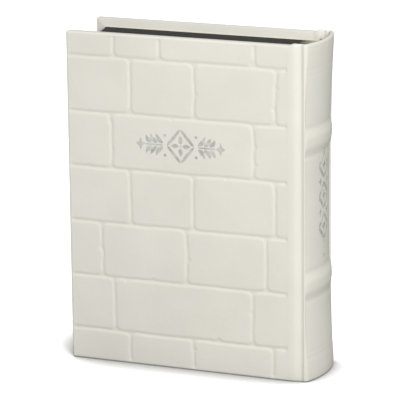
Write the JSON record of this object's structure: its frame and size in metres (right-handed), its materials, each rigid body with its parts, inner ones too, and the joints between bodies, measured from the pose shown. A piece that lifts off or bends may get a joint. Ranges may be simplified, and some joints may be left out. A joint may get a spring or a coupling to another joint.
{
  "type": "prayer book",
  "caption": "Padded hardcover prayer book with stone-block embossed covers, raised bands on the spine and a page block that fans open with the hinged covers.",
  "frame": {"origin": "middle of the foot of the closed book's bounding box, on the surface that it stands on", "axes": "+Z from tail to head, -Y out of the front cover, +X out of the spine, -X out of the fore edge"},
  "size_m": [0.1367, 0.043, 0.175],
  "materials": {
    "cover_leather": "embossed matt ivory imitation leather",
    "padding_foam": "thin white foam sheet",
    "grey_board": "dense grey bookbinder's board",
    "card": "smooth manila card",
    "endpaper": "ivory uncoated endpaper",
    "page_block": "near-black stained edges on thin cream pages",
    "cotton_tape": "woven cotton",
    "linen_thread": "waxed linen",
    "lining_paper": "brown kraft",
    "head_band_cloth": "woven charcoal headband",
    "silver_foil": "hot-stamped satin silver foil"
  },
  "bodies": {
    "spine": {"spine_leather": "cover_leather", "spine_card": "card", "lower_raised_band": "card", "upper_raised_band": "card", "spine_foil_ornament": "silver_foil", "sewing_tapes": "cotton_tape", "sewing_thread": "linen_thread", "spine_mull": "cotton_tape", "spine_lining": "lining_paper", "head_band": "head_band_cloth", "tail_band": "head_band_cloth", "front_joint_leather": "cover_leather", "back_joint_leather": "cover_leather"},
    "front_cover": {"front_cover_leather": "cover_leather", "front_padding": "padding_foam", "front_board": "grey_board", "front_board_liner": "card", "front_pastedown": "endpaper", "front_foil_ornament": "silver_foil"},
    "back_cover": {"back_cover_leather": "cover_leather", "back_padding": "padding_foam", "back_board": "grey_board", "back_board_liner": "card", "back_pastedown": "endpaper"},
    "front_flyleaf": {"front_flyleaf": "endpaper"},
    "back_flyleaf": {"back_flyleaf": "endpaper"},
    "section_01": {"section_01": "page_block"},
    "section_02": {"section_02": "page_block"},
    "section_03": {"section_03": "page_block"},
    "section_04": {"section_04": "page_block"},
    "section_05": {"section_05": "page_block"},
    "section_06": {"section_06": "page_block"},
    "section_07": {"section_07": "page_block"},
    "section_08": {"section_08": "page_block"},
    "section_09": {"section_09": "page_block"},
    "section_10": {"section_10": "page_block"},
    "section_11": {"section_11": "page_block"},
    "section_12": {"section_12": "page_block"},
    "section_13": {"section_13": "page_block"},
    "section_14": {"section_14": "page_block"},
    "section_15": {"section_15": "page_block"},
    "section_16": {"section_16": "page_block"}
  },
  "joints": [
    {"name": "front_cover_hinge", "type": "hinge", "parent": "spine", "child": "front_cover", "pos_m": [0.05944, -0.01955, 0.0875], "axis": [0, 0, 1], "range_deg": [0, 165], "deforming": ["front_joint_leather"]},
    {"name": "back_cover_hinge", "type": "hinge", "parent": "spine", "child": "back_cover", "pos_m": [0.05944, 0.01955, 0.0875], "axis": [0, 0, -1], "range_deg": [0, 165], "deforming": ["back_joint_leather"]},
    {"name": "front_flyleaf_fold", "type": "hinge", "parent": "spine", "child": "front_flyleaf", "pos_m": [0.05704, -0.01713, 0.0875], "axis": [0, 0, 1], "range_deg": [0, 116]},
    {"name": "back_flyleaf_fold", "type": "hinge", "parent": "spine", "child": "back_flyleaf", "pos_m": [0.05704, 0.01713, 0.0875], "axis": [0, 0, -1], "range_deg": [0, 116]},
    {"name": "section_01_fold", "type": "hinge", "parent": "spine", "child": "section_01", "pos_m": [0.05704, -0.01585, 0.0875], "axis": [0, 0, 1], "range_deg": [0, 67]},
    {"name": "section_02_fold", "type": "hinge", "parent": "spine", "child": "section_02", "pos_m": [0.05704, -0.01375, 0.0875], "axis": [0, 0, 1], "range_deg": [0, 59]},
    {"name": "section_03_fold", "type": "hinge", "parent": "spine", "child": "section_03", "pos_m": [0.05704, -0.01165, 0.0875], "axis": [0, 0, 1], "range_deg": [0, 50]},
    {"name": "section_04_fold", "type": "hinge", "parent": "spine", "child": "section_04", "pos_m": [0.05704, -0.00955, 0.0875], "axis": [0, 0, 1], "range_deg": [0, 42]},
    {"name": "section_05_fold", "type": "hinge", "parent": "spine", "child": "section_05", "pos_m": [0.05704, -0.00745, 0.0875], "axis": [0, 0, 1], "range_deg": [0, 34]},
    {"name": "section_06_fold", "type": "hinge", "parent": "spine", "child": "section_06", "pos_m": [0.05704, -0.00535, 0.0875], "axis": [0, 0, 1], "range_deg": [0, 26]},
    {"name": "section_07_fold", "type": "hinge", "parent": "spine", "child": "section_07", "pos_m": [0.05704, -0.00325, 0.0875], "axis": [0, 0, 1], "range_deg": [0, 17]},
    {"name": "section_08_fold", "type": "hinge", "parent": "spine", "child": "section_08", "pos_m": [0.05704, -0.00115, 0.0875], "axis": [0, 0, 1], "range_deg": [0, 9]},
    {"name": "section_09_fold", "type": "hinge", "parent": "spine", "child": "section_09", "pos_m": [0.05704, 0.00115, 0.0875], "axis": [0, 0, -1], "range_deg": [0, 9]},
    {"name": "section_10_fold", "type": "hinge", "parent": "spine", "child": "section_10", "pos_m": [0.05704, 0.00325, 0.0875], "axis": [0, 0, -1], "range_deg": [0, 17]},
    {"name": "section_11_fold", "type": "hinge", "parent": "spine", "child": "section_11", "pos_m": [0.05704, 0.00535, 0.0875], "axis": [0, 0, -1], "range_deg": [0, 26]},
    {"name": "section_12_fold", "type": "hinge", "parent": "spine", "child": "section_12", "pos_m": [0.05704, 0.00745, 0.0875], "axis": [0, 0, -1], "range_deg": [0, 34]},
    {"name": "section_13_fold", "type": "hinge", "parent": "spine", "child": "section_13", "pos_m": [0.05704, 0.00955, 0.0875], "axis": [0, 0, -1], "range_deg": [0, 42]},
    {"name": "section_14_fold", "type": "hinge", "parent": "spine", "child": "section_14", "pos_m": [0.05704, 0.01165, 0.0875], "axis": [0, 0, -1], "range_deg": [0, 50]},
    {"name": "section_15_fold", "type": "hinge", "parent": "spine", "child": "section_15", "pos_m": [0.05704, 0.01375, 0.0875], "axis": [0, 0, -1], "range_deg": [0, 59]},
    {"name": "section_16_fold", "type": "hinge", "parent": "spine", "child": "section_16", "pos_m": [0.05704, 0.01585, 0.0875], "axis": [0, 0, -1], "range_deg": [0, 67]}
  ],
  "couplings": [
    {"joint": "front_flyleaf_fold", "follows": "front_cover_hinge", "ratio": 0.7},
    {"joint": "back_flyleaf_fold", "follows": "back_cover_hinge", "ratio": 0.7},
    {"joint": "section_01_fold", "follows": "front_cover_hinge", "ratio": 0.4},
    {"joint": "section_02_fold", "follows": "front_cover_hinge", "ratio": 0.35},
    {"joint": "section_03_fold", "follows": "front_cover_hinge", "ratio": 0.3},
    {"joint": "section_04_fold", "follows": "front_cover_hinge", "ratio": 0.25},
    {"joint": "section_05_fold", "follows": "front_cover_hinge", "ratio": 0.2},
    {"joint": "section_06_fold", "follows": "front_cover_hinge", "ratio": 0.15},
    {"joint": "section_07_fold", "follows": "front_cover_hinge", "ratio": 0.1},
    {"joint": "section_08_fold", "follows": "front_cover_hinge", "ratio": 0.05},
    {"joint": "section_09_fold", "follows": "back_cover_hinge", "ratio": 0.05},
    {"joint": "section_10_fold", "follows": "back_cover_hinge", "ratio": 0.1},
    {"joint": "section_11_fold", "follows": "back_cover_hinge", "ratio": 0.15},
    {"joint": "section_12_fold", "follows": "back_cover_hinge", "ratio": 0.2},
    {"joint": "section_13_fold", "follows": "back_cover_hinge", "ratio": 0.25},
    {"joint": "section_14_fold", "follows": "back_cover_hinge", "ratio": 0.3},
    {"joint": "section_15_fold", "follows": "back_cover_hinge", "ratio": 0.35},
    {"joint": "section_16_fold", "follows": "back_cover_hinge", "ratio": 0.4}
  ]
}
